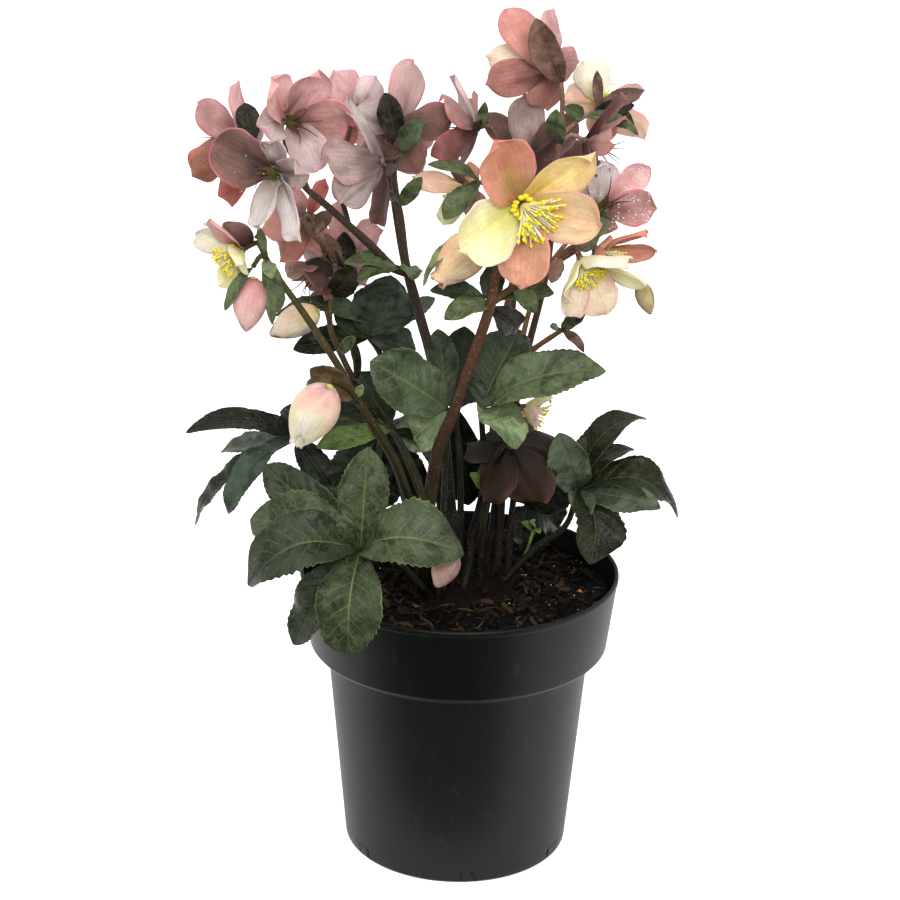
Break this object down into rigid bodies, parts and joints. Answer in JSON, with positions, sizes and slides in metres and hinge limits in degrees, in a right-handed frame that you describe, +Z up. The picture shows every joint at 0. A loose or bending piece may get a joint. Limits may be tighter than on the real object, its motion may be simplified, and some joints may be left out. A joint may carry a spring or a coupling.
{
  "type": "potted hellebore plant",
  "caption": "Flowering hellebore with cupped sepals, nodding buds, toothed pedate leaves and dark stems, growing in a round tapered nursery pot of bark mix.",
  "frame": {"origin": "centre of the pot's underside, on the surface the pot stands on", "axes": "+Z up along the pot's axis; -Y towards the side with the most open flower; +X to the right seen from there"},
  "size_m": [0.279, 0.2306, 0.4861],
  "materials": {
    "pot": "satin",
    "potting_mix": "rough bark",
    "crown": "rough",
    "stem": "waxy",
    "leaf": "leathery, semi-gloss",
    "petal_rose": "matte",
    "petal_dusk": "matte",
    "petal_cream": "matte"
  },
  "bodies": {
    "root": {"pot": "pot", "potting_mix": "potting_mix", "crown": "crown", "stem_a": "stem", "stem_b": "stem", "stem_c": "stem", "stem_d": "stem", "stem_e": "stem", "stem_f": "stem", "stem_g": "stem", "stem_h": "stem", "stem_j": "stem", "stem_k": "stem", "stem_m": "stem", "leaf_front_left": "leaf", "leaf_left": "leaf", "leaf_right": "leaf", "leaf_mid_left": "leaf", "leaf_mid_right": "leaf", "leaf_upper": "leaf", "leaf_bright": "leaf", "leaf_low_right": "leaf", "leaf_back_left": "leaf", "leaf_back_right": "leaf", "leaf_back_mid": "leaf", "flower_01": "petal_rose", "flower_02": "petal_dusk", "flower_03": "petal_rose", "flower_04": "petal_rose", "flower_05": "petal_dusk", "flower_06": "petal_dusk", "flower_07": "petal_dusk", "flower_08": "petal_dusk", "flower_09": "petal_rose", "flower_10": "petal_cream", "flower_11": "petal_cream", "flower_12": "petal_cream", "flower_13": "petal_cream", "flower_14": "petal_cream", "flower_15": "petal_dusk", "flower_16": "petal_dusk", "flower_17": "petal_cream", "flower_18": "petal_cream", "flower_19": "petal_rose", "flower_20": "petal_rose", "flower_21": "petal_dusk", "flower_22": "petal_dusk", "flower_23": "petal_rose", "flower_24": "petal_cream", "bud_01": "petal_dusk", "bud_02": "petal_rose", "bud_03": "petal_cream", "bud_04": "petal_cream", "bud_05": "petal_cream", "bud_06": "petal_cream", "bud_07": "petal_cream"}
  },
  "joints": []
}
